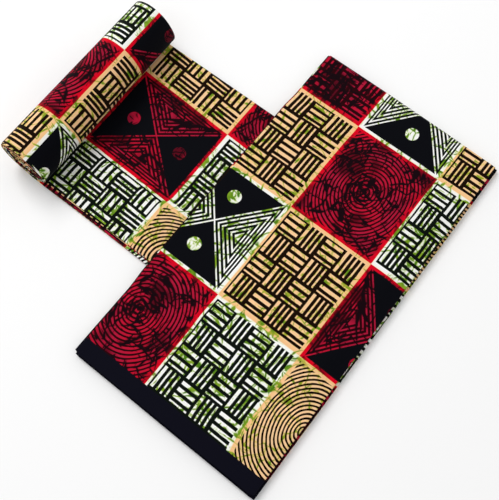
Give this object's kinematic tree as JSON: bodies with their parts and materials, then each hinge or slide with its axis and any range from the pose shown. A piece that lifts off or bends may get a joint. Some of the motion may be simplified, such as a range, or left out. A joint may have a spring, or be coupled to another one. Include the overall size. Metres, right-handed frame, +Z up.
{
  "type": "folded and rolled wax print fabric",
  "caption": "Printed cotton cloth laid out for display: a folded panel lies across a pleated strip whose far end is rolled up.",
  "frame": {"origin": "middle of the ground that the cloth covers, at the height of its underside", "axes": "+Z up from the surface it lies on, +Y along the panel towards its fold, -X along the strip towards the roll"},
  "size_m": [0.4542, 0.4549, 0.0628],
  "materials": {
    "printed_cotton_panel": "wax printed plain weave, smooth, faint sheen",
    "cotton_edges_panel": "layered folded edges, matt",
    "printed_cotton_strip": "wax printed plain weave, smooth, faint sheen",
    "cotton_edges_strip": "layered folded edges, matt",
    "printed_cotton_roll": "wax printed plain weave, smooth, faint sheen",
    "cotton_edges_roll": "layered folded edges in a spiral, matt"
  },
  "bodies": {
    "root": {"panel_top_leaf": "printed_cotton_panel", "panel_hidden_layers": "cotton_edges_panel", "strip_top_leaf": "printed_cotton_strip", "strip_hidden_layers": "cotton_edges_strip", "roll_outer_leaf": "printed_cotton_roll", "roll_hidden_turns": "cotton_edges_roll"}
  },
  "joints": []
}
